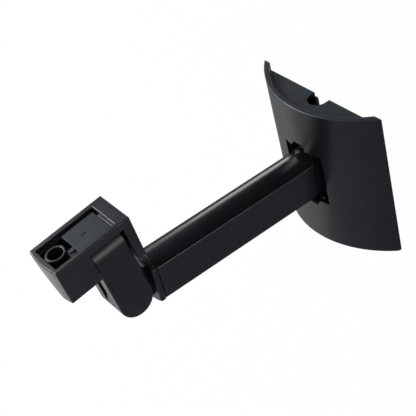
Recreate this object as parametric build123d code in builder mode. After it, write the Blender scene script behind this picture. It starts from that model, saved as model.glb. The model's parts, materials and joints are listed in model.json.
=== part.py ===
from build123d import *
import os
from math import cos, radians, sin, sqrt

os.makedirs("parts", exist_ok=True)

# Frame: the wall is the plane Y = 0, the arm leaves it along -Y at X = Z = 0, and Z is up. Millimetres.

# Clearances
running_fit = 0.05
axial_gap = 0.05
plug_fit = 0.1
cover_fit = 0.3

# Wall cover
cover_width = 108.0
cover_height = 100.0
cover_wall = 2.6
cover_foot = 1.4
cover_rim_rise = 1.3
cover_top_corner = 1.0
cover_bottom_corner = 2.0
cover_edge_bevel = 0.45
end_wall_recess = 5.0
end_wall = 2.2
cover_over_flange = 3.45
opening_clearance = 0.8
opening_extra_height = 2.7
notch_left = 9.2
notch_slant = 3.0
notch_right = 3.4
notch_height = 4.2
lead_notch_width = 13.5
lead_notch_depth = 10.0
catch_width = 8.0
catch_height = 1.0
catch_reach = 3.0
catch_from_wall = 3.5

# Stamped wall plate
plate_width = 84.0
plate_sheet = 2.0
hat_size = 46.0
hat_depth = 13.0
hat_corner = 5.0
hat_bevel = 1.4
lip_width = 20.0
lip_middle = 24.0
lip_depth = 9.0
lead_slot_width = 7.8
lead_slot_depth = 12.0
wall_hole = 5.5
wall_hole_pitch_x = 66.0
wall_hole_pitch_z = 56.0
stop_tab_start = 5.8
stop_tab_width = 7.0
stop_tab_clear = 2.3
stop_tab_beyond = 1.65

# Arm extrusion
tube_width = 22.0
tube_side = 23.0
tube_crown = 3.0
tube_wall = 1.8
tube_corner = 0.8
tube_length = 125.15

# Root of the arm, and the bolt that it rolls on
root_flange_thick = 3.0
root_lug_reach = 5.2
root_lug_width = 5.0
root_lug_angle = 24.0
root_spigot = 29.0
friction_disc_inset = 0.7
friction_disc_thick = 0.8
roll_bolt = 8.0
roll_bolt_depth = 22.0
roll_bolt_flats = 13.0
roll_bolt_head = 5.3
roll_washer = 20.0
roll_washer_thick = 1.6
roll_spring = 16.0
roll_spring_thick = 1.5
roll_spring_split = 2.0

# Cap in the outer end of the arm
cap_groove = 0.8
cap_groove_inset = 2.4
cap_collar = 3.4
cap_collar_inset = -0.4
cap_collar_bevel = 0.7
cap_spigot = 16.0
grub_screw = 4.0
grub_depth = 7.5
grub_sunk = 0.8
tongue_thick = 6.0

# Knuckle between arm and head
knuckle_clear = 3.1
knuckle_width = 22.6
knuckle_thick = 23.5
knuckle_edge = 0.7
axis_distance = 39.0
fork_web = 1.25
head_lean = 7.8
tilt_screw = 6.0
tilt_screw_head = 10.0
tilt_screw_head_thick = 3.6
tilt_screw_sunk = 0.4
tilt_insert_length = 5.4
insert_wall = 1.2
tilt_washer = 18.0
tilt_washer_thick = 1.0

# Head that carries the speaker
head_width = 29.6
head_cheek_taper = 0.9
head_roof = 5.0
head_below_axis = 7.1
head_cheek_drop = 5.4
head_end_bow = 1.6
head_cut_drop = 1.0
head_cut_foot = 7.0
head_cut_back = 7.2
head_corner = 0.8
head_edge = 0.5
roof_gap = 0.75
rim_near = 3.0
rim_far = 3.5
pocket_end_wall = 2.0
pocket_depth = 8.0
ledge_width = 2.2
ledge_sunk = 2.1
pocket_beyond_boss = 3.4
boss_outer = 12.1
boss_bore = 9.7
boss_web = 1.3
block_wall = 3.6
boss_below_rim = 0.7
screw_hole = 5.4
screw_wall = 4.0
screw_access = 10.4
screw_access_depth = 8.1
seat_sunk = 1.0
seat_thick = 1.5
seat_overhang = 1.9
seat_slit = 1.4
seat_slit_depth = 3.9
seat_bevel = 0.5
seat_tab_width = 2.8
seat_tab_length = 3.8
seat_tab_offset = 5.2
seat_mark = 3.4
seat_mark_depth = 0.3
seat_mark_from_slit = 14.8
seat_mark_offset = 2.6
land_length = 8.5
pan_screw = 6.0
pan_screw_head = 10.5
pan_screw_head_thick = 2.6
pan_screw_web = 2.2
pan_screw_sunk = 0.2
pan_insert_length = 6.0
pan_washer = 12.4
pan_washer_thick = 0.5
socket_flats = 4.0
socket_depth = 2.0

# Worked-out distances from the wall, measured along the arm
flange_back = hat_depth + friction_disc_thick + axial_gap
flange_front = flange_back + root_flange_thick
tube_end = flange_front + tube_length
collar_start = tube_end + cap_groove
cap_face = collar_start + cap_collar
tilt_axis = cap_face + knuckle_width / 2 + knuckle_clear
washer_seat = hat_depth - plate_sheet - axial_gap
spring_seat = washer_seat - roll_washer_thick - axial_gap
bolt_seat = spring_seat - roll_spring_thick - axial_gap
bolt_tip = flange_back + roll_bolt_depth - axial_gap
grub_places = (flange_front + root_spigot / 2, tube_end - cap_spigot / 2)

# Worked-out section of the arm: its crown, and the reach of its corners when it rolls
tube_crest = tube_side / 2 + tube_crown
arm_sweep = sqrt(tube_width**2 + tube_side**2) / 2
root_flange = 2 * arm_sweep
friction_disc = root_flange - 2 * friction_disc_inset

# Worked-out places of the cover and the wall plate
cover_half = cover_width / 2
cover_bulge = flange_front + cover_over_flange + cover_wall
cover_radius = (cover_half**2 + cover_bulge**2) / (2 * cover_bulge)
cover_centre = cover_radius - cover_bulge
cover_rim_top = cover_height / 2 + cover_rim_rise
end_wall_face = cover_height / 2 - end_wall_recess
opening_width = 2 * (arm_sweep + opening_clearance)
opening_height = opening_width + opening_extra_height
notch_round = lead_notch_width / 2
notch_centre = notch_round - lead_notch_depth
plate_height = 2 * (end_wall_face - end_wall - cover_fit)
stop_middle = stop_tab_start + stop_tab_width / 2
stop_tab_height = arm_sweep + stop_tab_clear
stop_tab_reach = flange_front + stop_tab_beyond - hat_depth

# Worked-out bores and inserts
roll_bore = roll_bolt + 2 * running_fit
grub_bore = grub_screw + 2 * running_fit
tilt_bore = tilt_screw + 2 * running_fit
tilt_insert = tilt_screw + 2 * insert_wall
pan_bore = pan_screw + 2 * running_fit
pan_insert = pan_screw + 2 * insert_wall

# Worked-out heights above the tilt axis
barrel_radius = knuckle_thick / 2
fork_depth = axis_distance - barrel_radius - fork_web
slot_roof = axis_distance + barrel_radius + roof_gap
head_top = slot_roof + head_roof
head_bottom = axis_distance - head_below_axis
cheek_bottom = head_bottom - head_cheek_drop
seat_floor = head_top - seat_sunk - seat_thick
access_top = head_bottom + screw_access_depth

# Worked-out places along the head, measured from the tilt axis towards the wall
fork_gap = tongue_thick + 2 * tilt_washer_thick + 4 * axial_gap
slot_half = knuckle_width / 2 + pan_washer_thick + 2 * axial_gap
pan_head_seat = slot_half + pan_screw_web
cheek_end = pan_head_seat + pan_screw_head_thick + pan_screw_sunk + head_cheek_taper
insert_end = slot_half + pan_insert_length
boss_place = -insert_end - boss_web - screw_access / 2
block_end = boss_place - screw_access / 2 - block_wall
pocket_start = block_end + pocket_end_wall
seat_start = boss_place + boss_outer / 2 + pocket_beyond_boss
land_start = cheek_end - land_length
seat_end = land_start - seat_slit

# Worked-out widths between the rims of the head, and the offsets of their middles
inner_width = head_width - rim_near - rim_far
inner_offset = (rim_far - rim_near) / 2
pocket_width = inner_width - ledge_width
pocket_offset = inner_offset + ledge_width / 2

# Directions of the leaning head: along its length and out of its speaker face
lean = radians(head_lean)
along = Vector(0, cos(lean), sin(lean))
outward = Vector(0, -sin(lean), cos(lean))
tilt_centre = Vector(0, -tilt_axis, 0)
pan_centre = tilt_centre + outward * axis_distance
boss_centre = tilt_centre + along * boss_place
inner_centre = tilt_centre + Vector(inner_offset, 0, 0)
pocket_centre = tilt_centre + Vector(pocket_offset, 0, 0)
mark_centre = tilt_centre + Vector(seat_mark_offset, 0, 0) + along * (land_start - seat_mark_from_slit)


def arm_plane(distance):
    # Local x is +X, local y is +Z, and the normal points away from the wall
    return Plane.XZ.offset(distance)


def grub_plane(place):
    # On the lowest line of the tube, with the normal up
    return Plane(origin=(0, -place, -tube_crest), x_dir=(1, 0, 0), z_dir=(0, 0, 1))


def side_plane(offset):
    # Local x runs along the head, local y out of its speaker face, and the normal is +X
    return Plane(origin=tilt_centre, x_dir=along, z_dir=(1, 0, 0)).offset(offset)


def face_plane(height, centre=tilt_centre):
    # Local x is +X, local y runs along the head, and the normal points out of its speaker face
    return Plane(origin=centre, x_dir=(1, 0, 0), z_dir=outward).offset(height)


def pan_plane(place):
    # Centred on the pan axis, with the normal along the head
    return Plane(origin=pan_centre, x_dir=(1, 0, 0), z_dir=along).offset(place)


def cut_plane():
    # Slanted cut of the block's far lower corner, through a point on three of its edges
    far_side = tilt_centre - Vector(head_width / 2, 0, 0)
    near_foot = far_side + Vector(head_width - head_cut_foot, 0, 0) + outward * head_bottom
    cut_top = far_side + along * block_end + outward * (head_top - head_cut_drop)
    cut_back = far_side + along * (block_end + head_cut_back) + outward * head_bottom
    cut_front = near_foot + along * (block_end - head_end_bow)
    return Plane(origin=cut_top, z_dir=(cut_front - cut_top).cross(cut_back - cut_top))


def span(low, high, width):
    # Rectangle centred across its first axis that runs from low to high along its second
    with BuildSketch() as strip:
        with Locations((0, (low + high) / 2)):
            Rectangle(width, high - low)
    return strip.sketch


def cover_section(depth_in):
    # Plan of the cover's filled bow, with its curved face moved in by a depth, and by more at its two feet
    half = sqrt((cover_radius - depth_in) ** 2 - cover_centre**2) - cover_foot * depth_in / cover_wall
    with BuildSketch() as section:
        with BuildLine():
            ThreePointArc((-half, 0), (0, depth_in - cover_bulge), (half, 0))
            Line((half, 0), (-half, 0))
        make_face()
    return section.sketch


def lead_notch():
    # Round-ended notch for the speaker lead, open towards the wall
    with BuildSketch() as notch:
        with Locations((0, notch_centre)):
            Circle(notch_round)
        add(span(notch_centre, 0, lead_notch_width))
    return notch.sketch


def tube_outline(inset, corner=0.0):
    # Section of the arm: flat sides with a crowned top and bottom
    half = tube_width / 2 - inset
    side = tube_side / 2 - inset
    crown = tube_crest - inset
    with BuildSketch() as outline:
        with BuildLine():
            ThreePointArc((-half, side), (0, crown), (half, side))
            Line((half, side), (half, -side))
            ThreePointArc((half, -side), (0, -crown), (-half, -side))
            Line((-half, -side), (-half, side))
        make_face()
        if corner:
            fillet(outline.vertices(), corner)
    return outline.sketch


def disc(plane, diameter, thickness, mode=Mode.ADD):
    with BuildSketch(plane) as round_face:
        Circle(diameter / 2)
    extrude(round_face.sketch, amount=thickness, mode=mode)


def ring(plane, outer, bore, thickness):
    disc(plane, outer, thickness)
    disc(plane, bore, thickness, Mode.SUBTRACT)


def hexagon(plane, flats, depth, mode=Mode.ADD):
    with BuildSketch(plane) as six_sided:
        RegularPolygon(flats / 2, 6, major_radius=False)
    extrude(six_sided.sketch, amount=depth, mode=mode)


def save(piece, name):
    piece.part.label = name
    export_step(piece.part, f"parts/{name}.step")


# Curved wall cover, moulded in one piece with recessed end walls
with BuildPart() as base_cover:
    with BuildSketch(Plane.XY.offset(-cover_height / 2)):
        add(cover_section(0))
        add(cover_section(cover_wall), mode=Mode.SUBTRACT)
    extrude(amount=cover_height + cover_rim_rise)
    with BuildSketch(Plane.YZ.offset(-cover_half)):
        Polygon(
            (0, cover_rim_top),
            (-cover_bulge, cover_height / 2),
            (-cover_bulge, cover_rim_top),
            align=None,
        )
    extrude(amount=cover_width, mode=Mode.SUBTRACT)
    fillet(base_cover.edges().filter_by(Axis.X).group_by(Axis.Z)[-1], cover_top_corner)
    fillet(base_cover.edges().filter_by(Axis.X).group_by(Axis.Z)[0], cover_bottom_corner)
    front = base_cover.faces().sort_by(SortBy.AREA)[-1]
    chamfer(front.edges().filter_by(Axis.Z, reverse=True), cover_edge_bevel)
    for end in (1, -1):
        end_plan = Plane.XY.offset(end * end_wall_face)
        with BuildSketch(end_plan):
            add(cover_section(cover_wall / 2))
        extrude(amount=-end * end_wall)
        with BuildSketch(end_plan):
            add(lead_notch())
        extrude(amount=-end * end_wall, mode=Mode.SUBTRACT)
        # Snap catches that reach into the windows of the plate's lips
        catch_base = end * (end_wall_face - end_wall)
        catch_tip = catch_base - end * (cover_fit + catch_height)
        catch_back = -catch_from_wall - cover_fit
        catch_front = cover_fit - catch_from_wall - catch_reach
        for side in (1, -1):
            with BuildSketch(Plane.YZ.offset(side * lip_middle - catch_width / 2)):
                Polygon(
                    (catch_back, catch_base),
                    (catch_front, catch_base),
                    (catch_front, catch_tip),
                    align=None,
                )
            extrude(amount=catch_width)
    with BuildSketch(Plane.XZ):
        Rectangle(opening_width, opening_height)
        with PolarLocations(0, 2):
            Polygon(
                (-notch_left, 0),
                (-notch_left, opening_height / 2),
                (notch_slant - notch_left, opening_height / 2 + notch_height),
                (notch_right, opening_height / 2 + notch_height),
                (notch_right, 0),
                align=None,
            )
    extrude(amount=cover_bulge, mode=Mode.SUBTRACT)
save(base_cover, "base_cover")

# Steel wall plate with a raised middle, lips for the cover, slots for the lead and two welded roll stops
with BuildPart() as wall_plate:
    with BuildSketch(Plane.XZ):
        Rectangle(plate_width, plate_height)
        with GridLocations(0, plate_height, 1, 2):
            Rectangle(lead_slot_width, 2 * lead_slot_depth, mode=Mode.SUBTRACT)
        with GridLocations(wall_hole_pitch_x, wall_hole_pitch_z, 2, 2):
            Circle(wall_hole / 2, mode=Mode.SUBTRACT)
    extrude(amount=plate_sheet)
    with BuildSketch(Plane.XZ):
        with GridLocations(2 * lip_middle, plate_height - plate_sheet, 2, 2):
            Rectangle(lip_width, plate_sheet)
    extrude(amount=lip_depth)
    with BuildSketch(Plane.XZ.offset(catch_from_wall)):
        with GridLocations(2 * lip_middle, plate_height, 2, 2):
            Rectangle(catch_width + 2 * cover_fit, 2 * (plate_sheet + cover_fit))
    extrude(amount=catch_reach, mode=Mode.SUBTRACT)
    with BuildSketch(Plane.XZ):
        RectangleRounded(hat_size, hat_size, hat_corner)
    extrude(amount=hat_depth)
    chamfer(wall_plate.faces().sort_by(Axis.Y)[0].edges(), hat_bevel)
    with BuildSketch(Plane.XZ):
        hat_inside = hat_size - 2 * plate_sheet
        RectangleRounded(hat_inside, hat_inside, hat_corner - plate_sheet)
    extrude(amount=hat_depth - plate_sheet, mode=Mode.SUBTRACT)
    disc(arm_plane(hat_depth), roll_bore, -plate_sheet, Mode.SUBTRACT)
    with BuildSketch(arm_plane(hat_depth)):
        with PolarLocations(0, 2):
            with Locations((stop_middle, -stop_tab_height - plate_sheet / 2)):
                Rectangle(stop_tab_width, plate_sheet)
    extrude(amount=stop_tab_reach)
save(wall_plate, "wall_plate")

# Friction disc between the wall plate and the root of the arm
with BuildPart() as roll_friction_disc:
    ring(arm_plane(hat_depth), friction_disc, roll_bore, friction_disc_thick)
save(roll_friction_disc, "roll_friction_disc")

# Extruded arm
with BuildPart() as arm_tube:
    with BuildSketch(arm_plane(flange_front)):
        add(tube_outline(0, tube_corner))
        add(tube_outline(tube_wall), mode=Mode.SUBTRACT)
    extrude(amount=tube_length)
    for place in grub_places:
        disc(grub_plane(place), grub_bore, 2 * tube_wall, Mode.SUBTRACT)
save(arm_tube, "arm_tube")

# Cast root of the arm: flange with stop lugs, and a spigot inside the tube
with BuildPart() as arm_root:
    with BuildSketch(arm_plane(flange_back)):
        Circle(root_flange / 2)
        with PolarLocations(root_flange / 2, 2, start_angle=root_lug_angle):
            Rectangle(2 * root_lug_reach, root_lug_width)
    extrude(amount=root_flange_thick)
    with BuildSketch(arm_plane(flange_front)):
        add(tube_outline(tube_wall + plug_fit))
    extrude(amount=root_spigot)
    disc(arm_plane(flange_back), roll_bore, roll_bolt_depth, Mode.SUBTRACT)
    disc(grub_plane(grub_places[0]), grub_bore, grub_depth, Mode.SUBTRACT)
save(arm_root, "arm_root")

# Bolt that the arm rolls on, with its washers behind the raised middle of the wall plate
with BuildPart() as roll_bolt_piece:
    hexagon(arm_plane(bolt_seat), roll_bolt_flats, -roll_bolt_head)
    disc(arm_plane(bolt_seat), roll_bolt, bolt_tip - bolt_seat)
save(roll_bolt_piece, "roll_bolt")

with BuildPart() as roll_flat_washer:
    ring(arm_plane(washer_seat), roll_washer, roll_bore, -roll_washer_thick)
save(roll_flat_washer, "roll_flat_washer")

with BuildPart() as roll_spring_washer:
    ring(arm_plane(spring_seat), roll_spring, roll_bore, -roll_spring_thick)
    with BuildSketch(arm_plane(spring_seat)):
        add(span(0, roll_spring, roll_spring_split))
    extrude(amount=-roll_spring_thick, mode=Mode.SUBTRACT)
save(roll_spring_washer, "roll_spring_washer")

# Cap in the outer end of the arm, with the tongue of the tilt joint
with BuildPart() as end_cap:
    with BuildSketch(arm_plane(tube_end - cap_spigot)):
        add(tube_outline(tube_wall + plug_fit))
    extrude(amount=cap_spigot)
    with BuildSketch(arm_plane(tube_end)):
        add(tube_outline(cap_groove_inset))
    extrude(amount=cap_groove)
    with BuildSketch(arm_plane(collar_start)):
        add(tube_outline(cap_collar_inset, tube_corner))
    extrude(amount=cap_collar)
    chamfer(end_cap.faces().sort_by(Axis.Y)[0].edges(), cap_collar_bevel)
    with BuildSketch(Plane.XY.offset(-knuckle_width / 2)):
        add(span(-tilt_axis, cap_collar_bevel - cap_face, tongue_thick))
    extrude(amount=knuckle_width)
    disc(Plane.YZ.shift_origin(tilt_centre).offset(-tongue_thick / 2), knuckle_width, tongue_thick)
    disc(Plane.YZ.shift_origin(tilt_centre).offset(-tongue_thick / 2), tilt_bore, tongue_thick, Mode.SUBTRACT)
    disc(grub_plane(grub_places[1]), grub_bore, grub_depth, Mode.SUBTRACT)
save(end_cap, "end_cap")

# Two grub screws from below that hold the root and the cap in the tube
with BuildPart() as arm_grub_screws:
    for place in grub_places:
        disc(grub_plane(place).offset(grub_sunk), grub_screw, grub_depth - grub_sunk - axial_gap)
        hexagon(grub_plane(place).offset(grub_sunk), grub_screw / 2, grub_screw / 2, Mode.SUBTRACT)
save(arm_grub_screws, "arm_grub_screws")

# Knuckle: a fork round the tongue below and a barrel for the pan joint above
with BuildPart() as knuckle:
    with BuildSketch(side_plane(-knuckle_thick / 2)):
        Circle(knuckle_width / 2)
        add(span(0, axis_distance, knuckle_width))
    extrude(amount=knuckle_thick)
    disc(pan_plane(-knuckle_width / 2), knuckle_thick, knuckle_width)
    flanks = knuckle.faces().sort_by(Axis(pan_centre, along))
    outline = (flanks[0].edges() + flanks[-1].edges()).filter_by(Axis.X, reverse=True)
    lower_rounds = knuckle.edges().filter_by(GeomType.CIRCLE).group_by(Axis(tilt_centre, outward))[0]
    chamfer(outline + lower_rounds, knuckle_edge)
    with BuildSketch(side_plane(-fork_gap / 2)):
        add(span(-knuckle_width, fork_depth, 2 * knuckle_width))
    extrude(amount=fork_gap, mode=Mode.SUBTRACT)
    disc(side_plane(-knuckle_thick / 2), tilt_bore, knuckle_thick / 2, Mode.SUBTRACT)
    head_room = tilt_screw_head_thick + tilt_screw_sunk + axial_gap
    disc(side_plane(-knuckle_thick / 2), tilt_screw_head + 4 * running_fit, head_room, Mode.SUBTRACT)
    insert_room = tilt_insert_length + axial_gap
    disc(side_plane(fork_gap / 2), tilt_insert + 2 * running_fit, insert_room, Mode.SUBTRACT)
    disc(pan_plane(-knuckle_width / 2), pan_bore, knuckle_width, Mode.SUBTRACT)
save(knuckle, "knuckle")

# Tilt screw from the far side, into an insert in the near cheek
with BuildPart() as tilt_screw_piece:
    screw_face = tilt_screw_sunk - knuckle_thick / 2
    disc(side_plane(screw_face), tilt_screw_head, tilt_screw_head_thick)
    shank_end = fork_gap / 2 + tilt_insert_length
    disc(side_plane(screw_face), tilt_screw, shank_end - screw_face)
    hexagon(side_plane(screw_face), socket_flats, socket_depth, Mode.SUBTRACT)
save(tilt_screw_piece, "tilt_screw")

with BuildPart() as tilt_insert_piece:
    ring(side_plane(fork_gap / 2), tilt_insert, tilt_bore, tilt_insert_length)
save(tilt_insert_piece, "tilt_insert")

with BuildPart() as tilt_washer_near:
    ring(side_plane(tongue_thick / 2 + axial_gap), tilt_washer, tilt_bore, tilt_washer_thick)
save(tilt_washer_near, "tilt_washer_near")

with BuildPart() as tilt_washer_far:
    ring(side_plane(-tongue_thick / 2 - axial_gap), tilt_washer, tilt_bore, -tilt_washer_thick)
save(tilt_washer_far, "tilt_washer_far")

# Head housing: block with the screw boss, roof and outer cheek round the knuckle's barrel
with BuildPart() as head_housing:
    with BuildSketch(face_plane(head_top)):
        with BuildLine():
            half = head_width / 2
            Polyline((half, block_end), (half, cheek_end), (-half, cheek_end), (-half, block_end))
            ThreePointArc((-half, block_end), (0, block_end - head_end_bow), (half, block_end))
        make_face()
    extrude(amount=cheek_bottom - head_top)
    with BuildSketch(side_plane(-head_width)):
        Polygon(
            (cheek_end, head_top),
            (cheek_end - head_cheek_taper, cheek_bottom),
            (cheek_end, cheek_bottom),
            align=None,
        )
    extrude(amount=2 * head_width, mode=Mode.SUBTRACT)
    fillet(head_housing.edges().filter_by(Axis(tilt_centre, outward)), head_corner)
    # Slot for the barrel, and the block's lower end, which stops short of the cheek's
    with BuildSketch(side_plane(-head_width)):
        add(span(0, slot_roof, 2 * slot_half))
        with Locations((block_end, head_bottom / 2)):
            Rectangle(-2 * block_end, head_bottom)
    extrude(amount=2 * head_width, mode=Mode.SUBTRACT)
    ends = head_housing.faces().sort_by(Axis(tilt_centre, outward))
    chamfer(ends[0].edges() + ends[1].edges() + ends[-1].edges(), head_edge)
    split(bisect_by=cut_plane(), keep=Keep.TOP)
    # Recess with a ledge between the rims, the slit beside the land, the seat plate's bed and the pocket
    for start, depth in ((pocket_start, ledge_sunk), (seat_end, seat_slit_depth)):
        with BuildSketch(face_plane(head_top, inner_centre)):
            add(span(start, land_start, inner_width))
        extrude(amount=-depth, mode=Mode.SUBTRACT)
    for start, end, depth in (
        (seat_start, land_start, seat_sunk + seat_thick),
        (pocket_start, seat_start + seat_overhang, pocket_depth),
    ):
        with BuildSketch(face_plane(head_top, pocket_centre)):
            add(span(start, end, pocket_width))
        extrude(amount=-depth, mode=Mode.SUBTRACT)
    # Bevelled edge of the land beside the slit
    with BuildSketch(side_plane(inner_offset - inner_width / 2)):
        Polygon(
            (land_start, head_top),
            (land_start + seat_bevel, head_top),
            (land_start, head_top - seat_bevel),
            align=None,
        )
    extrude(amount=inner_width, mode=Mode.SUBTRACT)
    # Screw boss with its deep bore, the screw hole and the way in for a screwdriver
    boss_top = head_top - boss_below_rim
    disc(face_plane(boss_top, boss_centre), boss_outer, head_top - pocket_depth - boss_top)
    disc(face_plane(boss_top, boss_centre), boss_bore, access_top + screw_wall - boss_top, Mode.SUBTRACT)
    disc(face_plane(access_top, boss_centre), screw_hole, screw_wall, Mode.SUBTRACT)
    disc(face_plane(head_bottom, boss_centre), screw_access, screw_access_depth, Mode.SUBTRACT)
    # Pan screw: clearance and head room in the cheek, and the insert's seat in the block
    disc(pan_plane(slot_half), pan_bore, cheek_end - slot_half, Mode.SUBTRACT)
    disc(pan_plane(pan_head_seat), pan_screw_head + 4 * running_fit, cheek_end - pan_head_seat, Mode.SUBTRACT)
    pan_room = pan_insert_length + axial_gap
    disc(pan_plane(-slot_half), pan_insert + 2 * running_fit, -pan_room, Mode.SUBTRACT)
save(head_housing, "head_housing")

# Seat plate in the speaker face, with its locating tab and a small moulding mark
with BuildPart() as seat_plate:
    with BuildSketch(face_plane(seat_floor, pocket_centre)):
        add(span(seat_start, seat_end, pocket_width - 2 * plug_fit))
    extrude(amount=seat_thick)
    chamfer(seat_plate.faces().sort_by(Axis(tilt_centre, outward))[-1].edges(), seat_bevel)
    with BuildSketch(face_plane(seat_floor)):
        with Locations((seat_tab_offset, seat_start)):
            Rectangle(seat_tab_width, 2 * seat_tab_length)
    extrude(amount=seat_thick - seat_bevel)
    disc(face_plane(head_top - seat_sunk, mark_centre), seat_mark, -seat_mark_depth, Mode.SUBTRACT)
save(seat_plate, "seat_plate")

# Pan screw through the outer cheek and the barrel, into an insert in the block
with BuildPart() as pan_screw_piece:
    head_start = pan_head_seat + axial_gap
    disc(pan_plane(head_start), pan_screw_head, pan_screw_head_thick)
    disc(pan_plane(head_start), pan_screw, -head_start - insert_end)
    hexagon(pan_plane(head_start + pan_screw_head_thick), socket_flats, -socket_depth, Mode.SUBTRACT)
save(pan_screw_piece, "pan_screw")

with BuildPart() as pan_insert_piece:
    ring(pan_plane(-slot_half), pan_insert, pan_bore, -pan_insert_length)
save(pan_insert_piece, "pan_insert")

with BuildPart() as pan_washer_block:
    ring(pan_plane(axial_gap - slot_half), pan_washer, pan_bore, pan_washer_thick)
save(pan_washer_block, "pan_washer_block")

with BuildPart() as pan_washer_cheek:
    ring(pan_plane(slot_half - axial_gap), pan_washer, pan_bore, -pan_washer_thick)
save(pan_washer_cheek, "pan_washer_cheek")
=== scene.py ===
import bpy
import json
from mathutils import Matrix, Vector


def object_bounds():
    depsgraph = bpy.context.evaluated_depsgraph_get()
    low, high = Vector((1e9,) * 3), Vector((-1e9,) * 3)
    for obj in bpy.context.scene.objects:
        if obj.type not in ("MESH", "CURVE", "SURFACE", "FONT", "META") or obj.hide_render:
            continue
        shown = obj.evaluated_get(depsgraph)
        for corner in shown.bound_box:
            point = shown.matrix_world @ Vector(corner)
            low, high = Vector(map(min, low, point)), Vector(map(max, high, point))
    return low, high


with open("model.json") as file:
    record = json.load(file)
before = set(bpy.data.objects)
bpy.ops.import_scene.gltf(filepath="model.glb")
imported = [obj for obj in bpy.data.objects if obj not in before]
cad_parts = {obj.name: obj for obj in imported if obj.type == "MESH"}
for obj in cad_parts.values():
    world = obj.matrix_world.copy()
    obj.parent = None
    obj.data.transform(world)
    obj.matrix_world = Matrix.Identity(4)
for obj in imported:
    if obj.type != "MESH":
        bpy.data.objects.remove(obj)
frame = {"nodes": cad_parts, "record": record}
cadBox = [list(corner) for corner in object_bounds()]

import json
import math

import bmesh
import bpy
from mathutils import Matrix, Vector

scene = bpy.context.scene
nodes = frame["nodes"]
print("frame loaded:", len(nodes), "nodes")


# camera at the photograph's viewing angle: metres, degrees, and millimetres of film
eye = {
    "place": (0.51267, -0.35818, 0.46430),
    "azimuth": 63.381,
    "height": 37.841,
    "roll": -15.902,
    "lens": 107.056,
    "film": 36,
    "shift": (0.02035, 0.01593),
    "nearest": 0.01,
}


def placeCamera():
    turn, lift, roll = (math.radians(eye[key]) for key in ("azimuth", "height", "roll"))
    back = Vector((math.sin(turn) * math.cos(lift), -math.cos(turn) * math.cos(lift), math.sin(lift)))
    right = Vector((math.cos(turn), math.sin(turn), 0))
    up = back.cross(right)
    across = right * math.cos(roll) + up * math.sin(roll)
    upward = up * math.cos(roll) - right * math.sin(roll)
    data = bpy.data.cameras.new("eye")
    data.lens = eye["lens"]
    data.sensor_width = eye["film"]
    data.shift_x, data.shift_y = eye["shift"]
    data.clip_start = eye["nearest"]
    camera = bpy.data.objects.new("eye", data)
    axes = Matrix((across, upward, back)).transposed()
    camera.matrix_world = Matrix.Translation(eye["place"]) @ axes.to_4x4()
    scene.collection.objects.link(camera)
    scene.camera = camera


placeCamera()
print("camera placed")


# a node's output that can stand in a Python sum
class Wire:
    def __init__(self, board, socket):
        self.board = board
        self.socket = socket

    def calc(self, operation, first, second):
        return self.board.add("Math", {"operation": operation}, {0: first, 1: second})

    def __add__(self, other):
        return self.calc("ADD", self, other)

    def __radd__(self, other):
        return self.calc("ADD", other, self)

    def __sub__(self, other):
        return self.calc("SUBTRACT", self, other)

    def __rsub__(self, other):
        return self.calc("SUBTRACT", other, self)

    def __mul__(self, other):
        return self.calc("MULTIPLY", self, other)

    def __rmul__(self, other):
        return self.calc("MULTIPLY", other, self)

    def orMore(self, other):
        return self.calc("MAXIMUM", self, other)


# the nodes of one material, or of the world
class Board:
    def __init__(self, tree):
        self.tree = tree
        tree.nodes.clear()

    def add(self, kind, settings=None, sockets=None, out=0):
        node = self.tree.nodes.new("ShaderNode" + kind)
        for name, value in (settings or {}).items():
            setattr(node, name, value)
        for name, value in (sockets or {}).items():
            if isinstance(value, Wire):
                self.tree.links.new(value.socket, node.inputs[name])
            else:
                node.inputs[name].default_value = value
        return Wire(self, node.outputs[out]) if node.outputs else node


def startMaterial(name):
    material = bpy.data.materials.new(name)
    material.use_nodes = True
    return material, Board(material.node_tree)


def grey(level, tint=(1, 1, 1)):
    return tuple(level * part for part in tint) + (1,)


# what all finishes share: sizes in millimetres, edges softened by the shader only
texture = {
    "perMetre": 1000.0,
    "bumpUnit": 0.001,
    "noiseSpan": (0.35, 0.65),
    "noiseMiddle": 0.5,
    "bevelSamples": 8,
}


def millimetres(board):
    place = board.add("TexCoord", out="Object")
    return board.add("VectorMath", {"operation": "SCALE"}, {0: place, "Scale": texture["perMetre"]})


def cloud(board, place, size, detail=2.0):
    return board.add("TexNoise", {}, {"Vector": place, "Scale": 1 / size, "Detail": detail})


def between(board, share, low, high):
    lowest, highest = texture["noiseSpan"]
    ends = {"From Min": lowest, "From Max": highest, "To Min": low, "To Max": high}
    return board.add("MapRange", {}, {"Value": share, **ends})


# sockets 6 and 7 of a Mix node are its two colours, and output 2 is the mixed one
def mixColour(board, share, first, second):
    return board.add("Mix", {"data_type": "RGBA"}, {"Factor": share, 6: first, 7: second}, 2)


def softEdged(board, height, edge):
    rounded = board.add("Bevel", {"samples": texture["bevelSamples"]}, {"Radius": edge / texture["perMetre"]})
    return board.add("Bump", {}, {"Height": height, "Distance": texture["bumpUnit"], "Normal": rounded})


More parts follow.
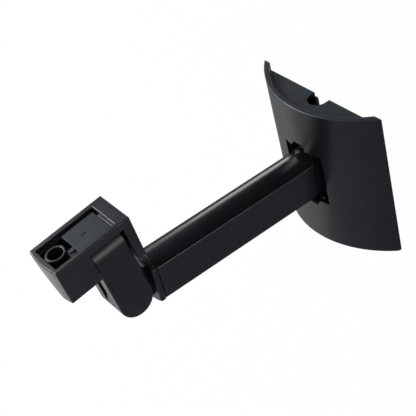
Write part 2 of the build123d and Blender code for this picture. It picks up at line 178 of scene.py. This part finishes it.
# black finishes, one for each material slot: colours are linear
coverLook = {
    "dark": grey(0.0045, (1, 1.03, 1.2)),
    "light": grey(0.0065, (1, 1.03, 1.2)),
    "patch": 16,
    "gloss": (0.24, 0.30),
    "mattEnds": 0.10,  # end walls and rims are duller than the bowed front; their paler, bluer colour is painted light on the up- and down-facing faces
    # painted light: the colour that faces turned up or down take, standing in for the light that falls on
    # them
    "paintedEndLight": grey(0.025, (0.72, 1.02, 1.30)),
    "shine": 0.40,
    "grain": 0.35,
    "grainDepth": 0.003,
    "wave": 9.0,
    "waveDepth": 0.020,
    "edge": 0.45,
}
armLook = {
    "dark": grey(0.0045, (1, 1.03, 1.25)),
    "light": grey(0.0060, (1, 1.03, 1.25)),
    "patch": 22,
    "gloss": (0.20, 0.25),
    "shine": 0.62,
    "grain": 0.5,
    "grainDepth": 0.003,
    "wave": 5.0,
    "waveDepth": 0.012,
    "edge": 0.35,
}
castLook = {
    "dark": grey(0.007, (1, 1.02, 1.25)),
    "light": grey(0.010, (1, 1.02, 1.25)),
    "patch": 12,
    "gloss": (0.31, 0.37),
    "shine": 0.46,
    "grain": 0.6,
    "grainDepth": 0.005,
    "wave": 6.0,
    "waveDepth": 0.015,
    "edge": 0.5,
}
headLook = {
    "dark": grey(0.010, (1, 1.02, 1.35)),
    "light": grey(0.014, (1, 1.02, 1.32)),
    "patch": 10,
    "gloss": (0.22, 0.28),
    "shine": 0.55,
    "grain": 0.3,
    "grainDepth": 0.003,
    "wave": 7.0,
    "waveDepth": 0.012,
    "edge": 0.6,
}
seatLook = {
    "dark": grey(0.024, (0.75, 0.98, 1.23)),
    "light": grey(0.032, (0.75, 0.98, 1.21)),
    "patch": 9,
    "gloss": (0.36, 0.42),
    "shine": 0.28,
    "grain": 0.3,
    "grainDepth": 0.012,
    "wave": 6.0,
    "waveDepth": 0.010,
    "edge": 0.3,
}
plateLook = {
    "dark": grey(0.006),
    "light": grey(0.010),
    "patch": 8,
    "gloss": (0.38, 0.50),
    "shine": 0.45,
    "grain": 0.5,
    "grainDepth": 0.006,
    "wave": 6.0,
    "waveDepth": 0.010,
    "edge": 0.3,
}
washerLook = {
    "dark": grey(0.020),
    "light": grey(0.028),
    "patch": 5,
    "gloss": (0.50, 0.60),
    "shine": 0.30,
    "grain": 0.2,
    "grainDepth": 0.006,
    "wave": 3.0,
    "waveDepth": 0.006,
    "edge": 0.15,
}
skinNoise = {
    "patchDetail": 3.0,
    "waveDetail": 1.0,
    "smudgeDetail": 4.0,
    "smudgeSize": 1.7,  # times the patches' size
    "grainHaze": 0.06,  # how far the grain shifts the roughness
}


def blackSkin(name, look):
    material, board = startMaterial(name)
    place = millimetres(board)
    patch = cloud(board, place, look["patch"], skinNoise["patchDetail"])
    colour = mixColour(board, between(board, patch, 0.0, 1.0), look["dark"], look["light"])
    grain = cloud(board, place, look["grain"])
    wave = cloud(board, place, look["wave"], skinNoise["waveDetail"])
    smudge = cloud(board, place, look["patch"] * skinNoise["smudgeSize"], skinNoise["smudgeDetail"])
    haze = (grain - texture["noiseMiddle"]) * skinNoise["grainHaze"]
    rough = between(board, smudge, *look["gloss"]) + haze
    # faces turned up or down are made rougher, and are painted paler and bluer: painted light for how the
    # light falls on them
    if "paintedEndLight" in look:
        upward = board.add("SeparateXYZ", {}, {0: board.add("TexCoord", out="Normal")}, "Z")
        flatEndMattAndPaintedLight = upward * upward
        rough = rough + flatEndMattAndPaintedLight * look["mattEnds"]
        colour = mixColour(board, flatEndMattAndPaintedLight, colour, look["paintedEndLight"])
    height = grain * look["grainDepth"] + wave * look["waveDepth"]
    normal = softEdged(board, height, look["edge"])
    skin = board.add(
        "BsdfPrincipled",
        {},
        {"Base Color": colour, "Roughness": rough, "Normal": normal, "Specular IOR Level": look["shine"]},
    )
    board.add("OutputMaterial", {}, {"Surface": skin})
    return material


# bare metals of the small parts
steelLook = {
    "dark": grey(0.20),
    "light": grey(0.30, (1, 1, 1.03)),
    "patch": 2.0,
    "gloss": (0.28, 0.40),
}
brassLook = {
    "dark": (0.50, 0.35, 0.13, 1),
    "light": (0.64, 0.48, 0.21, 1),
    "patch": 2.0,
    "gloss": (0.24, 0.36),
}
metalNoise = {
    "flakeShare": 0.4,
    "hazeShare": 0.6,
    "hazeDetail": 3.0,
    "hazeSize": 4,  # times the patches' size
    "scratchSize": 1 / 12,
    "scratchDepth": 0.004,
    "edge": 0.2,
}


def bareMetal(name, look):
    material, board = startMaterial(name)
    place = millimetres(board)
    spangle = board.add("TexVoronoi", {}, {"Vector": place, "Scale": 1 / look["patch"]}, "Color")
    flake = board.add("SeparateColor", {}, {"Color": spangle})
    haze = cloud(board, place, look["patch"] * metalNoise["hazeSize"], metalNoise["hazeDetail"])
    share = flake * metalNoise["flakeShare"] + between(board, haze, 0.0, metalNoise["hazeShare"])
    colour = mixColour(board, share, look["dark"], look["light"])
    scratch = cloud(board, place, look["patch"] * metalNoise["scratchSize"])
    normal = softEdged(board, scratch * metalNoise["scratchDepth"], metalNoise["edge"])
    rough = between(board, haze, *look["gloss"])
    skin = board.add(
        "BsdfPrincipled",
        {},
        {"Base Color": colour, "Roughness": rough, "Metallic": 1.0, "Normal": normal},
    )
    board.add("OutputMaterial", {}, {"Surface": skin})
    return material


finishes = {
    "cover_plastic": blackSkin("coverMoulding", coverLook),
    "plate_steel": blackSkin("dippedSheet", plateLook),
    "arm_paint": blackSkin("armCoat", armLook),
    "cast_paint": blackSkin("castCoat", castLook),
    "head_plastic": blackSkin("headMoulding", headLook),
    "seat_plastic": blackSkin("seatMoulding", seatLook),
    "fastener_steel": bareMetal("screwSteel", steelLook),
    "insert_brass": bareMetal("insertBrass", brassLook),
    "washer_plastic": blackSkin("washerNylon", washerLook),
}


def dressNodes():
    for part in frame["record"]["subparts"]:
        piece = nodes[part["node"]]
        piece.data.materials.clear()
        piece.data.materials.append(finishes[part["material_slot"]])


dressNodes()
print("finishes given:", len(finishes))


# pale room: floor and surround are white where they are seen, and light the part more weakly
room = {
    "floorDrop": 0.22,
    "floorHalf": 8.0,
    "floorColour": grey(0.94),
    "floorWhite": 0.98,  # the rest shows the part's shadow
    "fill": 0.30,
}


def addSheet(name, half, place, facing, material):
    bm = bmesh.new()
    bmesh.ops.create_grid(bm, x_segments=1, y_segments=1, size=1)
    bmesh.ops.scale(bm, verts=bm.verts, vec=half + (1,))
    bmesh.ops.rotate(bm, verts=bm.verts, matrix=Vector(facing).to_track_quat("Z", "Y").to_matrix())
    bmesh.ops.translate(bm, verts=bm.verts, vec=place)
    mesh = bpy.data.meshes.new(name)
    bm.to_mesh(mesh)
    bm.free()
    mesh.materials.append(material)
    piece = bpy.data.objects.new(name, mesh)
    scene.collection.objects.link(piece)
    return piece


def seenDirectly(board):
    camera = board.add("LightPath", out="Is Camera Ray")
    glossy = board.add("LightPath", out="Is Glossy Ray")
    clear = board.add("LightPath", out="Is Transmission Ray")
    return camera.orMore(glossy).orMore(clear)


def makeFloor():
    material, board = startMaterial("floorPaper")
    paper = board.add("BsdfDiffuse", {}, {"Color": room["floorColour"]})
    white = board.add("Emission", {}, {"Color": grey(1.0), "Strength": 1.0})
    share = seenDirectly(board) * room["floorWhite"]
    mixed = board.add("MixShader", {}, {0: share, 1: paper, 2: white})
    board.add("OutputMaterial", {}, {"Surface": mixed})
    half = (room["floorHalf"], room["floorHalf"])
    place = (0, 0, cadBox[0][2] - room["floorDrop"])
    floor = addSheet("floor", half, place, (0, 0, 1), material)


def makeSurround():
    world = bpy.data.worlds.new("surround")
    world.use_nodes = True
    scene.world = world
    board = Board(world.node_tree)
    strength = seenDirectly(board) * (1 - room["fill"]) + room["fill"]
    light = board.add("Background", {}, {"Color": grey(1.0), "Strength": strength})
    board.add("OutputWorld", {}, {"Surface": light})


makeFloor()
makeSurround()
print("room ready")


# cards that only reflections see: each goes from one level to the other over its span,
# measured from the origin in the direction along
hoodFade = {"levels": (0.16, 0.01), "tint": (1, 1.02, 1.3), "along": (0.35, 1, 0), "span": (0.045, 0.445)}
cards = {
    # overhead and far away: the dark that the arm's crown and the end walls show
    "hood": {"place": (-0.30, 0.26, 1.8), "facing": (0, 0, -1), "half": (1.35, 1.86), **hoodFade},
    "hoodLeft": {"place": (-2.75, 1.25, 1.8), "facing": (0, 0, -1), "half": (1.1, 1.15), **hoodFade},
    "rightHood": {
        "place": (1.9, 0.6, 1.75),
        "facing": (-1, 0, 0),
        "half": (1.6, 1.4),
        "levels": (0.04, 0.04),
    },
    "farCard": {
        "place": (-2.6, 1.1, -0.262),
        "facing": (0, 0, 1),
        "half": (1.8, 1.6),
        "levels": (0.03, 0.03),
    },
    "farWall": {
        "place": (-2.2, 0.85, 0.04),
        "facing": (0.93, -0.36, 0),
        "half": (1.6, 0.31),
        "levels": (0.02, 0.02),
    },
    # just above the floor: the fade across the cover, and the sides of arm and head
    "leftCard": {
        "place": (-0.90, 0.45, -0.261),
        "facing": (0, 0, 1),
        "half": (0.75, 0.90),
        "levels": (0.96, 0.29),
        "along": (0, 1, 0),
        "span": (-0.28, 0.02),
    },
    "gapCard": {
        "place": (-0.19, -0.66, -0.259),
        "facing": (0, 0, 1),
        "half": (0.04, 0.34),
        "levels": (0.37, 0.90),
        "tint": (1, 1.0, 1.15),
        "along": (0, 1, 0),
        "span": (-0.40, -0.32),
    },
    "dimCard": {
        "place": (-0.100, -0.134, -0.07),  # close under the arm, so that the upper cover alone shows it
        "facing": (0, 0, 1),
        "half": (0.050, 0.038),
        "levels": (0.60, 0.34),
        "along": (1, 0, 0),
        "span": (-0.115, -0.070),
    },
    "lowCard": {
        "place": (0.99, 0.35, -0.26),
        "facing": (0, 0, 1),
        "half": (1.14, 1.3),
        "levels": (0.44, 0.205),
        "tint": (1, 1.0, 1.25),
        "along": (0.6, 0.8, 0),
        "span": (-0.30, 0.18),
    },
}


def cardGlow(name, card):
    material, board = startMaterial(name)
    near, far = (grey(level, card.get("tint", (1, 1, 1))) for level in card["levels"])
    colour = near
    if "span" in card:
        low, high = card["span"]
        spot = board.add("TexCoord", out="Object")
        reach = board.add("VectorMath", {"operation": "DOT_PRODUCT"}, {0: spot, 1: card["along"]}, "Value")
        share = board.add("MapRange", {}, {"Value": reach, "From Min": low, "From Max": high})
        colour = mixColour(board, share, near, far)
    glow = board.add("Emission", {}, {"Color": colour, "Strength": 1.0})
    board.add("OutputMaterial", {}, {"Surface": glow})
    return material


def setCards():
    for name, card in cards.items():
        piece = addSheet(name, card["half"], card["place"], card["facing"], cardGlow(name, card))
        piece.visible_camera = False
        piece.visible_diffuse = False
        piece.visible_shadow = False


setCards()
print("cards set:", len(cards))


# soft round lamps, all turned to the middle of the arm
lampAim = Vector((0, -0.09, 0))
lamps = {
    "frontBox": {"place": (-1.07, -0.67, 0.92), "size": 0.8, "watts": 18},
    "sideBox": {"place": (1.40, 0.24, 0.19), "size": 0.56, "watts": 3.6},
    "leftBox": {"place": (-1.395, 0.590, 0.395), "size": 0.40, "watts": 0.95},
}


def hangLamps():
    for name, lamp in lamps.items():
        data = bpy.data.lights.new(name, "AREA")
        data.shape = "DISK"
        data.size = lamp["size"]
        data.energy = lamp["watts"]
        piece = bpy.data.objects.new(name, data)
        turn = (Vector(lamp["place"]) - lampAim).to_track_quat("Z", "Y").to_matrix()
        piece.matrix_world = Matrix.Translation(lamp["place"]) @ turn.to_4x4()
        scene.collection.objects.link(piece)


hangLamps()
scene.view_settings.view_transform = "Standard"
print("lamps hung:", len(lamps))
